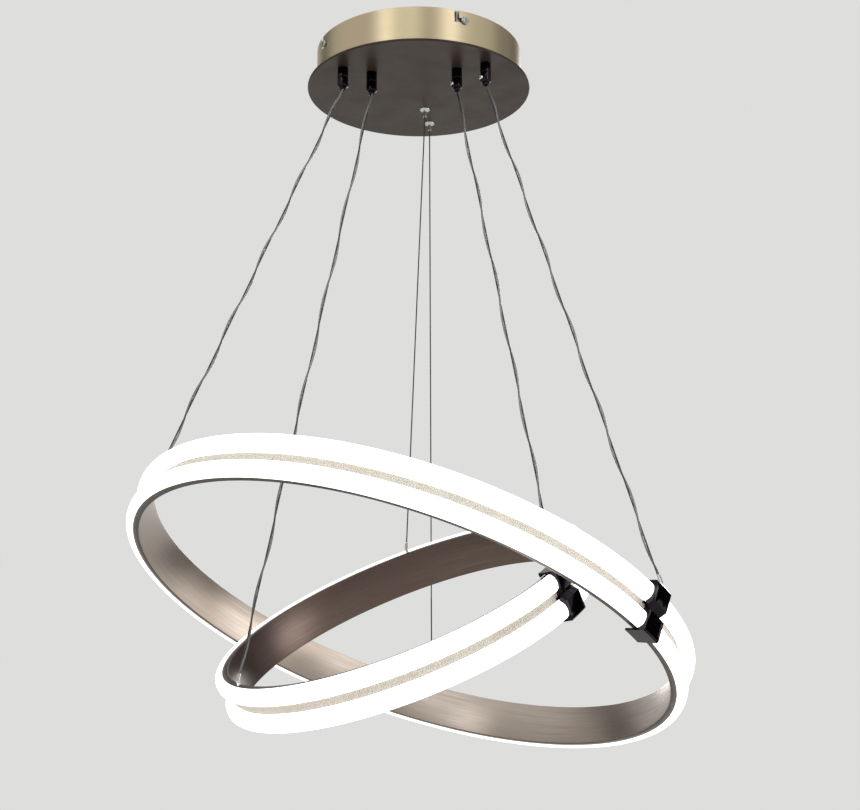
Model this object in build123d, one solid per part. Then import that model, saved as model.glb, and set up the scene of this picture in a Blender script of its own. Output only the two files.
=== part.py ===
from build123d import *
from dataclasses import dataclass, field
from math import cos, degrees, pi, radians, sin, sqrt
import os

# A ring chandelier: a round ceiling canopy from which two tilted light rings hang, each on
# three steel ropes. Every ring is a rolled channel with two round-shouldered opal lenses on its
# outside. Millimetres, +Z up, +Y away from the viewer. The origin is the centre of the
# ceiling bracket's top face, so everything hangs at negative Z.

# ---- driving sizes ---------------------------------------------------------------------

# Canopy: a drum with a wider plate under it.
CANOPY_DEPTH = 45.0          # ceiling to the plate's underside
CEILING_GAP = 0.8            # air above the drum's edge
DRUM_RADIUS = 112.5
DRUM_WALL = 0.9
DRUM_FOOT_IN = 6.0           # welded foot flange, inwards from the wall
DRUM_FOOT_OUT = 1.2          # and its thin bead outside the wall
PLATE_MARGIN = 10.0          # plate's edge beyond the drum
PLATE_THICKNESS = 2.5

# Bayonet lock between the canopy and its ceiling bracket.
LOCK_COUNT = 4
LOCK_AZIMUTH = -64.2         # first screw, degrees
LOCK_SCREW_RADIUS = 2.0
LOCK_HEAD_RADIUS = 4.0
LOCK_HEAD_HEIGHT = 2.6
LOCK_DEPTH = 12.0            # ceiling to the screw's axis
LOCK_TURN = 4.5              # twist from locked to free, degrees
LOCK_CLEARANCE = 0.6         # screw to slot
LOCK_HEAD_GAP = 0.35         # screw head to drum wall
THREAD_GAP = 0.05            # screw or stud to its thread

# Ceiling bracket: a pressed steel cross with its ends turned down.
BRACKET_THICKNESS = 2.0
BRACKET_ARM_WIDTH = 26.0
BRACKET_HUB_RADIUS = 34.0
BRACKET_WALL_GAP = 2.2       # turned-down end to the drum's inside
BRACKET_TAB_WIDTH = 16.0
BRACKET_TAB_DEPTH = 19.0
CEILING_HOLE_RADIUS = 2.75
CEILING_HOLE_CIRCLE = 110.0  # pitch circle diameter
CABLE_HOLE_RADIUS = 8.0
TERMINAL_SIZE = (34.0, 18.0, 13.0)
TERMINAL_POLES = 3
TERMINAL_WAY_RADIUS = 2.2

# Drivers inside the canopy, one for each ring.
DRIVER_SIZE = (110.0, 32.0, 20.0)
DRIVER_SPACING = 38.0
DRIVER_MIDDLE_Y = 4.5
DRIVER_CORNER = 2.0
DRIVER_EAR = 7.0
DRIVER_EAR_THICKNESS = 2.0
DRIVER_EAR_HOLE = 1.8

# Rope grippers on the canopy plate.
GRIPPER_RADIUS = 5.75
GRIPPER_LENGTH = 22.0
GRIPPER_CHAMFER = 1.3
GRIPPER_SEAM_DEPTH = 0.35
GRIPPER_SEAM_WIDTH = 0.7
GRIPPER_BORE = 3.5           # where the nozzle slides
GRIPPER_BORE_DEPTH = 13.5
GRIPPER_WIRE_BORE = 2.2
STUD_RADIUS = 4.0
STUD_CLEARANCE = 0.2
STUD_REACH = 7.0             # above the plate
NUT_FLATS = 12.0             # across flats
NUT_HEIGHT = 3.2
NOZZLE_GAP = 0.2             # nozzle to gripper bore
NOZZLE_LENGTH = 13.0
NOZZLE_OUT = 3.5             # standing out of the gripper
NOZZLE_TIP_RADIUS = 2.9
NOZZLE_TRAVEL = 2.5
LOCK_PIN_RADIUS = 1.2
LOCK_PIN_CLEARANCE = 0.2
LOCK_KNOB_RADIUS = 2.4
LOCK_KNOB_LENGTH = 2.4
LOCK_KNOB_GAP = 0.4
LOCK_PIN_HEIGHT = 4.5        # above the gripper's lower end

# Plain rope outlets on the canopy plate.
OUTLET_RADIUS = 6.0
OUTLET_HEIGHT = 5.0
OUTLET_RIM = 1.2
NIPPLE_RADIUS = 2.0
NIPPLE_LENGTH = 4.0

# Ropes and cords.
ROPE_DIAMETER = 1.5
FEED_DIAMETER = 2.0
FEED_OFFSET = 2.2            # feed cord beside its rope, centre to centre
BORE_CLEARANCE = 0.4

# Ring section, the same on both rings, measured outwards from the channel's inner face.
BAND_DEPTH = 15.3
CHANNEL_DEPTH = 6.5
CHANNEL_HEIGHT = 43.1
CHANNEL_WALL = 1.5
LENS_WIDTH = 19.0
GROOVE_GAP = 9.0             # between the two lenses
LENS_SPACING = LENS_WIDTH + GROOVE_GAP
LENS_CORNER = 8.5            # radius of the lens's two shoulders
LENS_CORNER_FLATS = 3        # narrow faces that make up a shoulder
RING_FIT = 0.15              # between the pieces of one ring
GROOVE_FIT = 0.2             # between the strip and each lens
GROOVE_WIDTH = GROOVE_GAP - 2 * GROOVE_FIT
GROOVE_STRIP_DEPTH = 9.8
BOARD_WIDTH = 10.0
BOARD_THICKNESS = 1.0
BOARD_LENGTH = 72.0
SEAM_GAP = 0.5               # where the ends of a rolled ring meet

# Clamp over each ring's seam, and the rope hangers.
CLAMP_WIDTH = 26.0
CLAMP_WALL = 2.0
CLAMP_FIT = 0.3
CLAMP_CORNER = 1.5
CLAMP_NOTCH_DEPTH = 5.5      # V between the clamp's two faces
CLAMP_NOTCH_HALF = 5.0
CLAMP_FLANGE = 4.0           # reach under the ring, inwards
CLAMP_HANGER_DEPTH = 10.5    # ring's inner face to the hanger on the clamp
CLAMP_LIP = 4.0              # hook down behind the ring's top edge
CLAMP_TAB_LENGTH = 7.0
CLAMP_TAB_HEIGHT = 3.0
CLAMP_TAB_THICKNESS = 1.8
HANGER_STEM_RADIUS = 2.6
HANGER_KNEE = 4.5            # height of the knee above what carries the hanger
FERRULE_RADIUS = 4.4
FERRULE_SLIM_RADIUS = 2.8
FERRULE_LENGTH = 8.0
FERRULE_FLOOR = 3.0          # solid end below the rope's bore
ROPE_SEAT_GAP = 0.4          # rope end to the bore's floor


@dataclass(frozen=True)
class Hanging:
    """One rope: where it leaves the canopy plate and where it meets its ring."""

    name: str
    canopy_radius: float     # on the canopy plate
    canopy_azimuth: float    # degrees
    ring_azimuth: float      # degrees, in the ring's own plane
    powered: bool            # gripper and feed cord, or a plain outlet
    on_clamp: bool = False
    pin_azimuth: float = 0.0


@dataclass(frozen=True)
class Ring:
    """One light ring: its size, its place under the canopy and its three ropes."""

    name: str
    outer_radius: float
    centre: tuple
    lean_right: float        # degrees that the ring's axis leans towards +X
    lean_away: float         # and towards +Y
    ropes: tuple = field(default_factory=tuple)

    @property
    def inner_radius(self):
        """Radius of the channel's inner face."""
        return self.outer_radius - BAND_DEPTH

    @property
    def plane(self):
        """The ring's own plane: Z along its axis, X level."""
        x = sin(radians(self.lean_right))
        y = sin(radians(self.lean_away))
        normal = Vector(x, y, sqrt(1 - x * x - y * y))
        return Plane(origin=self.centre, x_dir=Vector(0, 1, 0).cross(normal), z_dir=normal)

    @property
    def clamp_azimuth(self):
        """Azimuth of the rope that hangs on the clamp."""
        return next(rope.ring_azimuth for rope in self.ropes if rope.on_clamp)


BIG = Ring(
    "big_ring", 295.5, (-12.2, -8.6, -618.3), 17.7, 12.4,
    (
        Hanging("a", 99.0, -145.0, -161.5, True, pin_azimuth=60.0),
        Hanging("d", 99.0, -43.5, -38.5, True, on_clamp=True, pin_azimuth=-140.0),
        Hanging("f", 86.0, 82.0, 82.0, False),
    ),
)
SMALL = Ring(
    "small_ring", 199.5, (-12.4, -10.3, -633.7), -21.1, -23.0,
    (
        Hanging("b", 68.0, -138.0, -159.5, True, pin_azimuth=60.0),
        Hanging("c", 68.0, -52.5, -42.0, True, on_clamp=True, pin_azimuth=-140.0),
        Hanging("e", 48.0, 82.0, 78.0, False),
    ),
)
RINGS = (BIG, SMALL)

# ---- places worked out from the driving sizes ------------------------------------------

PLATE_UNDER = -CANOPY_DEPTH
PLATE_TOP = PLATE_UNDER + PLATE_THICKNESS
DRUM_INNER = DRUM_RADIUS - DRUM_WALL
PLATE_RADIUS = DRUM_RADIUS + PLATE_MARGIN
GRIPPER_END = PLATE_UNDER - GRIPPER_LENGTH
NOZZLE_TIP = GRIPPER_END - NOZZLE_OUT
OUTLET_TIP = PLATE_UNDER - OUTLET_HEIGHT - NIPPLE_LENGTH
BAND_HALF = (LENS_SPACING + LENS_WIDTH) / 2
CLAMP_TOP = BAND_HALF + CLAMP_FIT + CLAMP_WALL


# ---- helpers ---------------------------------------------------------------------------

def around(azimuth):
    """Turn about the canopy's axis."""
    return Rot(0, 0, azimuth)


def turned(outline, start=0.0, sweep=360.0):
    """Turn a closed outline of (radius, height) points, or a face, about Z."""
    face = make_face(Polyline(*outline, close=True)) if isinstance(outline, list) else outline
    solid = revolve(Plane.XZ * face, Axis.Z, sweep)
    return Rot(0, 0, start) * solid


def rod(start, end, radius):
    """A straight round bar between two points."""
    line = Vector(*end) - Vector(*start)
    return Plane(origin=start, z_dir=line) * Cylinder(
        radius, line.length, align=(Align.CENTER, Align.CENTER, Align.MIN)
    )


def drill(radius, low, high):
    """A vertical drill between two heights."""
    return rod((0, 0, low), (0, 0, high), radius)


def save(node, *solids):
    """Write one node as a STEP file."""
    shape = solids[0] if len(solids) == 1 else Compound(children=list(solids))
    export_step(shape, f"parts/{node}.step")


# ---- ceiling bracket and lock ----------------------------------------------------------

def lock_azimuths():
    """Azimuths of the lock screws."""
    return [LOCK_AZIMUTH + k * 360 / LOCK_COUNT for k in range(LOCK_COUNT)]


def ceiling_bracket():
    """Pressed cross with a hub, ceiling screw holes, a cable hole and turned-down ends."""
    tab_outer = DRUM_INNER - BRACKET_WALL_GAP
    bracket = rod((0, 0, -BRACKET_THICKNESS), (0, 0, 0), BRACKET_HUB_RADIUS)
    for azimuth in lock_azimuths():
        arm = Pos(tab_outer / 2, 0, -BRACKET_THICKNESS / 2) * Box(
            tab_outer, BRACKET_ARM_WIDTH, BRACKET_THICKNESS
        )
        tab = Pos(tab_outer, 0, 0) * Box(
            BRACKET_THICKNESS, BRACKET_TAB_WIDTH, BRACKET_TAB_DEPTH,
            align=(Align.MAX, Align.CENTER, Align.MAX),
        )
        bracket += around(azimuth) * arm
        bracket += around(azimuth) * tab
    for azimuth in lock_azimuths():
        hole = Pos(CEILING_HOLE_CIRCLE / 2, 0, 0) * drill(CEILING_HOLE_RADIUS, -5, 1)
        tapped = rod((tab_outer - 5, 0, -LOCK_DEPTH), (tab_outer + 1, 0, -LOCK_DEPTH),
                     LOCK_SCREW_RADIUS + THREAD_GAP)
        bracket -= around(azimuth) * hole
        bracket -= around(azimuth) * tapped
    return bracket - drill(CABLE_HOLE_RADIUS, -5, 1)


def lock_screw():
    """Round-head screw with a driver slot, its axis along X."""
    seat = DRUM_RADIUS + LOCK_HEAD_GAP
    end = DRUM_INNER - BRACKET_WALL_GAP - BRACKET_THICKNESS - 2.0
    head = drill(LOCK_HEAD_RADIUS, 0, LOCK_HEAD_HEIGHT)
    head = chamfer(head.edges().sort_by(Axis.Z)[-1], LOCK_HEAD_HEIGHT * 0.45)
    slot = Pos(0, 0, LOCK_HEAD_HEIGHT) * Box(2 * LOCK_HEAD_RADIUS, 1.0, 1.6)
    head = Plane(origin=(seat, 0, -LOCK_DEPTH), z_dir=(1, 0, 0)) * (head - slot)
    shank = rod((end, 0, -LOCK_DEPTH), (seat, 0, -LOCK_DEPTH), LOCK_SCREW_RADIUS)
    return head + shank


def terminal_block():
    """Moulded mains terminal block under the bracket's hub, one way for each pole."""
    length, width, height = TERMINAL_SIZE
    top = -BRACKET_THICKNESS
    block = Pos(0, 0, top - height / 2) * Box(length, width, height)
    block = chamfer(block.edges().filter_by(Axis.Z), 1.5)
    pitch = length / TERMINAL_POLES
    for k in range(TERMINAL_POLES):
        x = (k - (TERMINAL_POLES - 1) / 2) * pitch
        block -= rod((x, -width, top - height * 0.6), (x, width, top - height * 0.6),
                     TERMINAL_WAY_RADIUS)
    return Pos(0, -(CABLE_HOLE_RADIUS + width / 2 + 1), 0) * block


# ---- canopy ----------------------------------------------------------------------------

def canopy_shell():
    """Drum wall with a welded foot flange and an L-shaped slot for each lock screw."""
    foot = PLATE_TOP + DRUM_WALL
    shell = turned([
        (DRUM_RADIUS, -CEILING_GAP), (DRUM_INNER, -CEILING_GAP), (DRUM_INNER, foot),
        (DRUM_RADIUS - DRUM_FOOT_IN, foot), (DRUM_RADIUS - DRUM_FOOT_IN, PLATE_TOP),
        (DRUM_RADIUS + DRUM_FOOT_OUT, PLATE_TOP), (DRUM_RADIUS + DRUM_FOOT_OUT, foot),
        (DRUM_RADIUS, foot),
    ])
    width = 2 * (LOCK_SCREW_RADIUS + LOCK_CLEARANCE)
    half = degrees(width / 2 / DRUM_RADIUS)
    for azimuth in lock_azimuths():
        level = [
            (DRUM_INNER - 2, -LOCK_DEPTH - width / 2), (DRUM_RADIUS + 2, -LOCK_DEPTH - width / 2),
            (DRUM_RADIUS + 2, -LOCK_DEPTH + width / 2), (DRUM_INNER - 2, -LOCK_DEPTH + width / 2),
        ]
        upright = [
            (DRUM_INNER - 2, -LOCK_DEPTH), (DRUM_RADIUS + 2, -LOCK_DEPTH),
            (DRUM_RADIUS + 2, 1), (DRUM_INNER - 2, 1),
        ]
        shell -= turned(level, azimuth - LOCK_TURN - half, LOCK_TURN + 2 * half)
        shell -= turned(upright, azimuth - LOCK_TURN - half, 2 * half)
    return shell


def canopy_plate():
    """Round bottom plate with a hole for every stud."""
    plate = drill(PLATE_RADIUS, PLATE_UNDER, PLATE_TOP)
    plate = chamfer(plate.edges().sort_by(Axis.Z)[0], 0.6)
    for ring in RINGS:
        for rope in ring.ropes:
            plate -= top_of(rope) * drill(STUD_RADIUS + STUD_CLEARANCE, PLATE_UNDER - 1, PLATE_TOP + 1)
    return plate


def driver():
    """Moulded driver case with rounded corners and a screw ear at each end."""
    length, width, height = DRIVER_SIZE
    case = Pos(0, 0, PLATE_TOP + height / 2) * Box(length, width, height)
    case = fillet(case.edges().filter_by(Axis.Z), DRIVER_CORNER)
    for side in (-1, 1):
        middle = side * (length / 2 + DRIVER_EAR / 2)
        ear = Pos(middle, 0, PLATE_TOP + DRIVER_EAR_THICKNESS / 2) * Box(
            DRIVER_EAR + 0.5, width / 2, DRIVER_EAR_THICKNESS
        )
        case += ear - Pos(middle, 0, 0) * drill(DRIVER_EAR_HOLE, PLATE_TOP - 1, PLATE_TOP + 5)
    return case


# ---- grippers and outlets --------------------------------------------------------------

def top_of(rope):
    """Place of a rope's gripper or outlet on the canopy."""
    return around(rope.canopy_azimuth) * Pos(rope.canopy_radius, 0, 0) * Rot(0, 0, -rope.canopy_azimuth)


def gripper_body(rope):
    """Turned gripper barrel with its stud, a seam line, and the bore of the nozzle."""
    stud_top = PLATE_TOP + STUD_REACH
    seam = PLATE_UNDER - GRIPPER_LENGTH / 2
    step = GRIPPER_END + GRIPPER_BORE_DEPTH
    body = turned([
        (GRIPPER_WIRE_BORE, stud_top), (STUD_RADIUS, stud_top), (STUD_RADIUS, PLATE_UNDER),
        (GRIPPER_RADIUS, PLATE_UNDER),
        (GRIPPER_RADIUS, seam + GRIPPER_SEAM_WIDTH / 2),
        (GRIPPER_RADIUS - GRIPPER_SEAM_DEPTH, seam),
        (GRIPPER_RADIUS, seam - GRIPPER_SEAM_WIDTH / 2),
        (GRIPPER_RADIUS, GRIPPER_END + GRIPPER_CHAMFER),
        (GRIPPER_RADIUS - GRIPPER_CHAMFER, GRIPPER_END),
        (GRIPPER_BORE, GRIPPER_END), (GRIPPER_BORE, step), (GRIPPER_WIRE_BORE, step),
    ])
    height = GRIPPER_END + LOCK_PIN_HEIGHT
    hole = rod((GRIPPER_BORE - 1, 0, height), (GRIPPER_RADIUS + 1, 0, height),
               LOCK_PIN_RADIUS + LOCK_PIN_CLEARANCE)
    return body - around(rope.pin_azimuth) * hole


def gripper_nozzle():
    """Sliding release nozzle with a tapered tip."""
    outer = GRIPPER_BORE - NOZZLE_GAP
    top = NOZZLE_TIP + NOZZLE_LENGTH
    return turned([
        (GRIPPER_WIRE_BORE, top), (outer, top), (outer, NOZZLE_TIP + 2.0),
        (NOZZLE_TIP_RADIUS, NOZZLE_TIP), (GRIPPER_WIRE_BORE, NOZZLE_TIP),
    ])


def gripper_pin(rope):
    """Small screw with a flat round knob, across the gripper's wall."""
    height = GRIPPER_END + LOCK_PIN_HEIGHT
    inner = GRIPPER_BORE + LOCK_PIN_CLEARANCE
    seat = GRIPPER_RADIUS + LOCK_KNOB_GAP
    pin = rod((inner, 0, height), (seat, 0, height), LOCK_PIN_RADIUS)
    knob = rod((seat, 0, height), (seat + LOCK_KNOB_LENGTH, 0, height), LOCK_KNOB_RADIUS)
    knob = chamfer(knob.edges().sort_by(Axis.X)[-1], 0.5)
    return around(rope.pin_azimuth) * (pin + knob)


def nut(radius):
    """Hexagon nut on top of the plate."""
    hexagon = extrude(RegularPolygon(NUT_FLATS / 2, 6, major_radius=False), NUT_HEIGHT)
    return Pos(0, 0, PLATE_TOP) * hexagon - drill(radius, PLATE_TOP - 1, PLATE_TOP + NUT_HEIGHT + 1)


def outlet():
    """Domed outlet with a nipple below and a hollow stud above."""
    base = PLATE_UNDER
    low = base - OUTLET_HEIGHT
    stud_top = PLATE_TOP + STUD_REACH
    bore = ROPE_DIAMETER / 2 + BORE_CLEARANCE
    return turned([
        (NIPPLE_RADIUS, low), (NIPPLE_RADIUS, OUTLET_TIP), (bore, OUTLET_TIP), (bore, stud_top),
        (STUD_RADIUS, stud_top), (STUD_RADIUS, base), (OUTLET_RADIUS, base),
        (OUTLET_RADIUS, base - OUTLET_RIM), (OUTLET_RADIUS * 0.72, base - OUTLET_HEIGHT * 0.82),
    ])


# ---- rings -----------------------------------------------------------------------------

def seam_cut(ring):
    """Thin radial cut where the ends of the rolled ring meet, under the clamp."""
    return around(ring.clamp_azimuth) * Pos(ring.outer_radius, 0, 0) * Box(
        4 * BAND_DEPTH, SEAM_GAP, 2 * CHANNEL_HEIGHT
    )


def channel(ring):
    """Rolled channel, open to the outside."""
    inner = ring.inner_radius
    outer = inner + CHANNEL_DEPTH
    half = CHANNEL_HEIGHT / 2
    floor = inner + CHANNEL_WALL
    flange = half - CHANNEL_WALL
    return turned([
        (inner, half), (outer, half), (outer, flange), (floor, flange),
        (floor, -flange), (outer, -flange), (outer, -half), (inner, -half),
    ]) - seam_cut(ring)


def lens_outline(foot, crown, middle, half, corner):
    """Section of a lens: straight sides, two round shoulders made of flats, a flat crown."""
    points = [(foot, middle - half)]
    for side, first in ((-1, -90.0), (1, 0.0)):
        for k in range(LENS_CORNER_FLATS + 1):
            angle = radians(first + k * 90.0 / LENS_CORNER_FLATS)
            points.append((
                crown - corner + corner * cos(angle),
                middle + side * (half - corner) + corner * sin(angle),
            ))
    return points + [(foot, middle + half)]


def lens(ring, side):
    """Silicone lens on the channel's front, above (1) or below (-1) the groove."""
    foot = ring.inner_radius + CHANNEL_DEPTH + RING_FIT
    middle = side * LENS_SPACING / 2
    outline = lens_outline(foot, ring.outer_radius, middle, LENS_WIDTH / 2, LENS_CORNER)
    return turned(outline) - seam_cut(ring)


def groove_strip(ring):
    """Spacer strip that stands in the channel and shows in the groove between the lenses."""
    inner = ring.inner_radius + CHANNEL_WALL + RING_FIT
    outer = ring.inner_radius + GROOVE_STRIP_DEPTH
    half = GROOVE_WIDTH / 2
    return turned([(inner, half), (outer, half), (outer, -half), (inner, -half)]) - seam_cut(ring)


def light_boards(ring):
    """Straight light boards laid end to end in the channel, one row behind each lens."""
    floor = ring.inner_radius + CHANNEL_WALL
    count = int(2 * pi * floor / BOARD_LENGTH)
    rise = floor / cos(pi / count) - floor
    boards = []
    for side in (-1, 1):
        for k in range(count):
            azimuth = ring.clamp_azimuth + (k + 0.5) * 360 / count
            length = 2 * floor * sin(pi / count) - 2.0
            board = Pos(floor + RING_FIT, 0, side * LENS_SPACING / 2) * Box(
                BOARD_THICKNESS, length, BOARD_WIDTH, align=(Align.MIN, Align.CENTER, Align.CENTER)
            )
            boards.append(around(azimuth) * board)
    print(f"{ring.name}: {2 * count} boards, corner rise {rise:.2f} mm")
    return boards


def clamp(ring):
    """Boxed sleeve over the seam: a V between its two faces, a lip, a flange and a tab."""
    inner = ring.inner_radius
    half = CLAMP_TOP
    reach = inner + BAND_DEPTH + CLAMP_FIT + CLAMP_WALL
    notch = reach - CLAMP_NOTCH_DEPTH
    back = inner - CLAMP_FIT - CLAMP_WALL
    outline = [
        (back, half), (reach - CLAMP_CORNER, half), (reach, half - CLAMP_CORNER),
        (reach, CLAMP_NOTCH_HALF), (notch, 0), (reach, -CLAMP_NOTCH_HALF),
        (reach, CLAMP_CORNER - half), (reach - CLAMP_CORNER, -half),
        (inner - CLAMP_FLANGE, -half), (inner - CLAMP_FLANGE, CLAMP_WALL - half),
        (inner - CLAMP_FIT, CLAMP_WALL - half), (inner - CLAMP_FIT, half - CLAMP_LIP),
        (back, half - CLAMP_LIP),
    ]
    section = make_face(Polyline(*outline, close=True))
    back_room = CHANNEL_DEPTH + RING_FIT
    section -= Pos(inner + back_room / 2 - CLAMP_FIT, 0) * Rectangle(
        back_room, 2 * (BAND_HALF + CLAMP_FIT)
    )
    strip_room = GROOVE_STRIP_DEPTH + 2 * CLAMP_FIT
    section -= Pos(inner + strip_room / 2 - CLAMP_FIT, 0) * Rectangle(strip_room, LENS_SPACING)
    for side in (-1, 1):
        room = lens_outline(
            inner + back_room / 2, inner + BAND_DEPTH + CLAMP_FIT, side * LENS_SPACING / 2,
            LENS_WIDTH / 2 + CLAMP_FIT, LENS_CORNER + CLAMP_FIT,
        )
        section -= make_face(Polyline(*room, close=True))
    sweep = degrees(CLAMP_WIDTH / (inner + BAND_DEPTH / 2))
    sleeve = turned(section, ring.clamp_azimuth - sweep / 2, sweep)
    tab = Pos(notch, -CLAMP_WIDTH / 2 - CLAMP_TAB_LENGTH + 1, 0) * Box(
        CLAMP_TAB_THICKNESS, CLAMP_TAB_LENGTH + 1, CLAMP_TAB_HEIGHT,
        align=(Align.MAX, Align.MIN, Align.CENTER),
    )
    return sleeve + around(ring.clamp_azimuth) * tab


# ---- ropes, feed cords and hangers -----------------------------------------------------

def rope_top(rope):
    """Point where a rope leaves its nozzle or nipple."""
    angle = radians(rope.canopy_azimuth)
    height = NOZZLE_TIP if rope.powered else OUTLET_TIP
    return Vector(rope.canopy_radius * cos(angle), rope.canopy_radius * sin(angle), height)


def hanger_foot(ring, rope):
    """Point on the ring or its clamp where a hanger stands."""
    angle = radians(rope.ring_azimuth)
    depth = CLAMP_HANGER_DEPTH if rope.on_clamp else CHANNEL_DEPTH / 2
    radius = ring.inner_radius + depth
    height = CLAMP_TOP if rope.on_clamp else CHANNEL_HEIGHT / 2
    return Vector(radius * cos(angle), radius * sin(angle), height)


def knee(ring, rope):
    """Point where a hanger's stem turns towards its rope, and the rope's direction, upwards."""
    point = ring.plane.from_local_coords(hanger_foot(ring, rope) + Vector(0, 0, HANGER_KNEE))
    return point, (rope_top(rope) - point).normalized()


def feed_side(direction):
    """Level direction from a rope to the feed cord beside it."""
    return direction.cross(Vector(0, 0, 1)).normalized() * FEED_OFFSET


def line_between(ring, rope, shift, diameter):
    """A taut rope or cord, cut level where it leaves the canopy's nozzle or nipple."""
    point, direction = knee(ring, rope)
    start = point + direction * (FERRULE_FLOOR + ROPE_SEAT_GAP) + shift
    top = rope_top(rope) + shift
    over = top + direction * 2 * diameter
    line = rod(tuple(start), tuple(over), diameter / 2)
    size = 20 * diameter
    above = Pos(top.X, top.Y, rope_top(rope).Z) * Box(
        size, size, size, align=(Align.CENTER, Align.CENTER, Align.MIN)
    )
    print(f"{ring.name} {rope.name}: {diameter} mm line, {(top - start).length:.1f} mm long")
    return line - above


def hanger(ring, rope):
    """Stem on the ring and a ferrule in line with the rope, bored for rope and feed cord."""
    point, direction = knee(ring, rope)
    foot = ring.plane.from_local_coords(hanger_foot(ring, rope))
    normal = ring.plane.z_dir
    radius = FERRULE_RADIUS if rope.powered else FERRULE_SLIM_RADIUS
    ferrule = drill(radius, 0, FERRULE_LENGTH)
    body = rod(tuple(foot), tuple(point + normal * 1.5), HANGER_STEM_RADIUS)
    body += Plane(origin=point, z_dir=direction) * ferrule
    for shift, diameter in lines_of(rope, direction):
        low = point + direction * FERRULE_FLOOR + shift
        high = point + direction * (FERRULE_LENGTH + 2) + shift
        body -= rod(tuple(low), tuple(high), diameter / 2 + BORE_CLEARANCE)
    return body


def lines_of(rope, direction):
    """The rope, and beside it the feed cord where there is one: (shift, diameter)."""
    lines = [(Vector(0, 0, 0), ROPE_DIAMETER)]
    if rope.powered:
        lines.append((feed_side(direction), FEED_DIAMETER))
    return lines


# ---- build -----------------------------------------------------------------------------

def build_canopy():
    """Write the bracket, the canopy and what stands on its plate."""
    save("ceiling_bracket", ceiling_bracket())
    save("bracket_lock_screws", *[around(azimuth) * lock_screw() for azimuth in lock_azimuths()])
    save("terminal_block", terminal_block())
    save("canopy_shell", canopy_shell())
    save("canopy_plate", canopy_plate())
    for ring, side in zip(RINGS, (-1, 1)):
        middle = DRIVER_MIDDLE_Y + side * DRIVER_SPACING / 2
        save(f"driver_{ring.name}", Pos(0, middle, 0) * driver())
    ropes = [rope for ring in RINGS for rope in ring.ropes]
    for rope in (rope for rope in ropes if rope.powered):
        save(f"gripper_{rope.name}_body", top_of(rope) * gripper_body(rope))
        save(f"gripper_{rope.name}_nozzle", top_of(rope) * gripper_nozzle())
        save(f"gripper_{rope.name}_lock_pin", top_of(rope) * gripper_pin(rope))
    save("rope_outlets", *[top_of(rope) * outlet() for rope in ropes if not rope.powered])
    save("stud_nuts", *[top_of(rope) * nut(STUD_RADIUS + THREAD_GAP) for rope in ropes])


def build_ring(ring):
    """Write one ring, its clamp, its hangers and the ropes and cords that carry it."""
    place = ring.plane
    save(f"{ring.name}_channel", place * channel(ring))
    save(f"{ring.name}_lens_upper", place * lens(ring, 1))
    save(f"{ring.name}_lens_lower", place * lens(ring, -1))
    save(f"{ring.name}_groove_strip", place * groove_strip(ring))
    save(f"{ring.name}_light_boards", *[place * board for board in light_boards(ring)])
    save(f"{ring.name}_clamp", place * clamp(ring))
    save(f"{ring.name}_hangers", *[hanger(ring, rope) for rope in ring.ropes])
    for rope in ring.ropes:
        _, direction = knee(ring, rope)
        for name, (shift, diameter) in zip(("rope", "feed_cord"), lines_of(rope, direction)):
            save(f"{name}_{rope.name}", line_between(ring, rope, shift, diameter))


os.makedirs("parts", exist_ok=True)
build_canopy()
for each in RINGS:
    build_ring(each)
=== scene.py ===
import logging
import math
from dataclasses import dataclass, field
from enum import Enum

import bmesh
import bpy
from bpy.types import ID, Material, Node, NodeSocket, NodeTree, Object
from mathutils import Matrix, Vector


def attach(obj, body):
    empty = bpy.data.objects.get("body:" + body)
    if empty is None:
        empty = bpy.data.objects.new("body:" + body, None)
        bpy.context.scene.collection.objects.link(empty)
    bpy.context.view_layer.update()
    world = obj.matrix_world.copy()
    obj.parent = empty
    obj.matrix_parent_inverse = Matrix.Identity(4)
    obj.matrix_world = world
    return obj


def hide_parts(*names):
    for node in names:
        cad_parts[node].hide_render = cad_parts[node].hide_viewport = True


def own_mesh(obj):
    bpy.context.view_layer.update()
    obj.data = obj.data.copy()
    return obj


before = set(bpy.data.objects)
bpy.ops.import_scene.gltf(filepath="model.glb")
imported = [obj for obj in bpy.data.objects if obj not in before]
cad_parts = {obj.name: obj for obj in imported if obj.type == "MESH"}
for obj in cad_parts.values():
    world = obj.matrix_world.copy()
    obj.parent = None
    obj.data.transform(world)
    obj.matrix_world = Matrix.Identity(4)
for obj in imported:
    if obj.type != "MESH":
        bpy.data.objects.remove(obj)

# A ring chandelier: two tilted light rings on steel ropes under a round canopy. Shapes are made
# in millimetres in the frame of the CAD and set down in metres.

LOG = logging.getLogger("ring_chandelier")
MM = 0.001
# Edges under the first angle are shaded smooth, and faces within the second are merged.
SMOOTH_BELOW = 38.0
FLAT_WITHIN = 0.6
# Points nearer than this are one: in a CAD node and a tube in metres, in a spin in millimetres.
CAD_WELD = 2e-6
TUBE_WELD = 1e-7
SPIN_WELD = 1e-4
# A rope's radius between two strands, as a share of its radius.
STRAND_VALLEY = 0.74
# Height of the canopy plate's under side, and the studs that pass up through it.
PLATE_UNDER = -45.0
STUD_TOP = -35.5
STUD_RADIUS = 4.0
Finishes = dict[str, Material]


class LensSide(Enum):
    """Which of a ring's two lenses."""

    UPPER = 1
    LOWER = -1


class Fitting(Enum):
    """What a rope hangs from under the canopy."""

    GRIPPER = "gripper"
    OUTLET = "outlet"


# ---- helpers ---------------------------------------------------------------------------


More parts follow.
